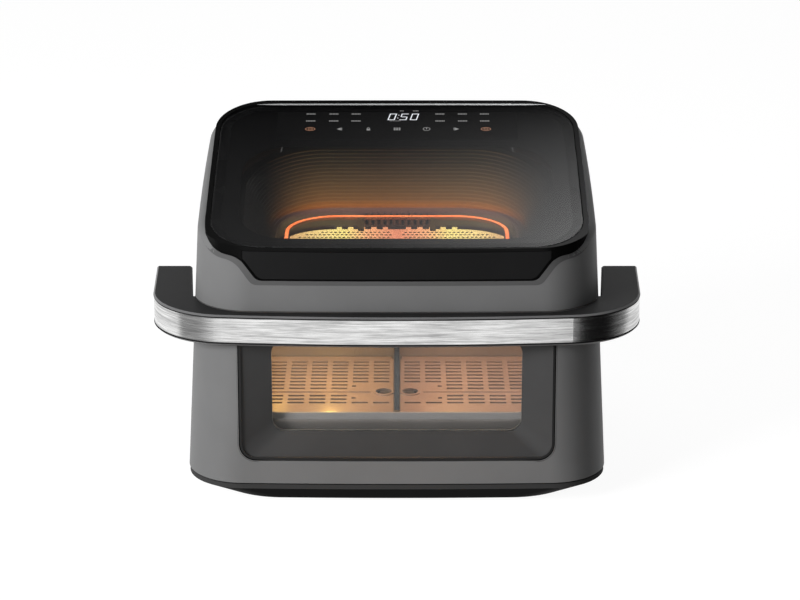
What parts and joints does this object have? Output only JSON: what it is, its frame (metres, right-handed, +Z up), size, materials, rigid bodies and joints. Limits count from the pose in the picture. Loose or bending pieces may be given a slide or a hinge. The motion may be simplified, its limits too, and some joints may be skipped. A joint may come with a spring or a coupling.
{
  "type": "air fryer oven",
  "caption": "Countertop air fryer with a sloping glass top, a wide pull-out drawer with a window, wrap-round steel handle, slotted plates and a divider.",
  "frame": {"origin": "on the floor, in the middle of the bounding box in plan", "axes": "+X to the right seen from the front, +Y from the drawer front to the back, +Z up; rest pose is the drawer shut"},
  "size_m": [0.471, 0.3, 0.3275],
  "materials": {
    "grey_shell": "satin",
    "black_plastic": "matte",
    "gloss_black": "gloss",
    "handle_black": "fine grain",
    "brushed_band": "brushed along its length",
    "smoked_glass": "gloss",
    "clear_glass": "gloss",
    "bright_steel": "bright",
    "zinc_sheet": "satin",
    "heater_tube": "glowing",
    "ceramic": "satin",
    "dark_coating": "non-stick",
    "silicone": "matte",
    "rubber_foot": "matte",
    "nylon": "matte",
    "board": "satin",
    "parts_dark": "matte",
    "screw_steel": "plated",
    "fan_alu": "satin",
    "motor_steel": "satin",
    "film": "matte",
    "light_guide": "satin"
  },
  "bodies": {
    "housing": {"base_tray": "black_plastic", "feet": "rubber_foot", "base_screws": "screw_steel", "lower_housing": "grey_shell", "upper_housing": "grey_shell", "rear_cover": "black_plastic", "cover_screws": "screw_steel", "rear_spacers": "rubber_foot", "cable_gland": "black_plastic", "top_frame": "gloss_black", "fascia_plate": "black_plastic", "top_glass": "smoked_glass", "glass_gasket": "silicone", "touch_film": "film", "display_module": "light_guide", "display_board": "board", "inner_top_glass": "clear_glass", "reflector": "bright_steel", "heater_element": "heater_tube", "heater_terminals": "ceramic", "heater_clips": "zinc_sheet", "heater_guard": "bright_steel", "cavity_ceiling": "zinc_sheet", "cavity_liner": "zinc_sheet", "drawer_rails": "nylon", "temperature_probe": "bright_steel", "thermal_cutout": "ceramic", "lamp_holder": "ceramic", "lamp_lens": "clear_glass", "fan_housing": "zinc_sheet", "fan_motor": "motor_steel", "motor_bracket": "zinc_sheet", "power_board": "board", "power_components": "parts_dark", "drawer_sensor": "parts_dark"},
    "drawer": {"drawer_front": "grey_shell", "drawer_back_plate": "zinc_sheet", "drawer_magnet": "screw_steel", "drawer_screws": "screw_steel", "window_surround": "black_plastic", "window_outer_glass": "clear_glass", "window_retainer": "zinc_sheet", "inner_window_seal": "silicone", "inner_window_glass": "clear_glass", "cooking_pot": "dark_coating", "pot_brackets": "zinc_sheet", "pot_runners": "nylon", "divider_guide": "dark_coating", "handle_core": "handle_black", "handle_band": "brushed_band", "handle_underside": "handle_black"},
    "right_plate": {"crisper_right": "dark_coating", "crisper_feet_right": "silicone"},
    "left_plate": {"crisper_left": "dark_coating", "crisper_feet_left": "silicone"},
    "divider": {"divider_panel": "dark_coating", "divider_seal": "silicone"},
    "fan": {"fan_impeller": "fan_alu", "motor_shaft": "screw_steel", "cooling_fan": "fan_alu"}
  },
  "joints": [
    {"name": "drawer_slide", "type": "slide", "parent": "housing", "child": "drawer", "axis": [0, -1, 0], "range_m": [0, 0.25]},
    {"name": "right_plate_lift", "type": "slide", "parent": "drawer", "child": "right_plate", "axis": [0, 0, 1], "range_m": [0, 0.09]},
    {"name": "left_plate_lift", "type": "slide", "parent": "drawer", "child": "left_plate", "axis": [0, 0, 1], "range_m": [0, 0.09]},
    {"name": "divider_lift", "type": "slide", "parent": "drawer", "child": "divider", "axis": [0, 0, 1], "range_m": [0, 0.012]},
    {"name": "fan_spin", "type": "hinge", "parent": "housing", "child": "fan", "pos_m": [0, 0.1, 0.2405], "axis": [0, 1, 0], "continuous": true}
  ]
}
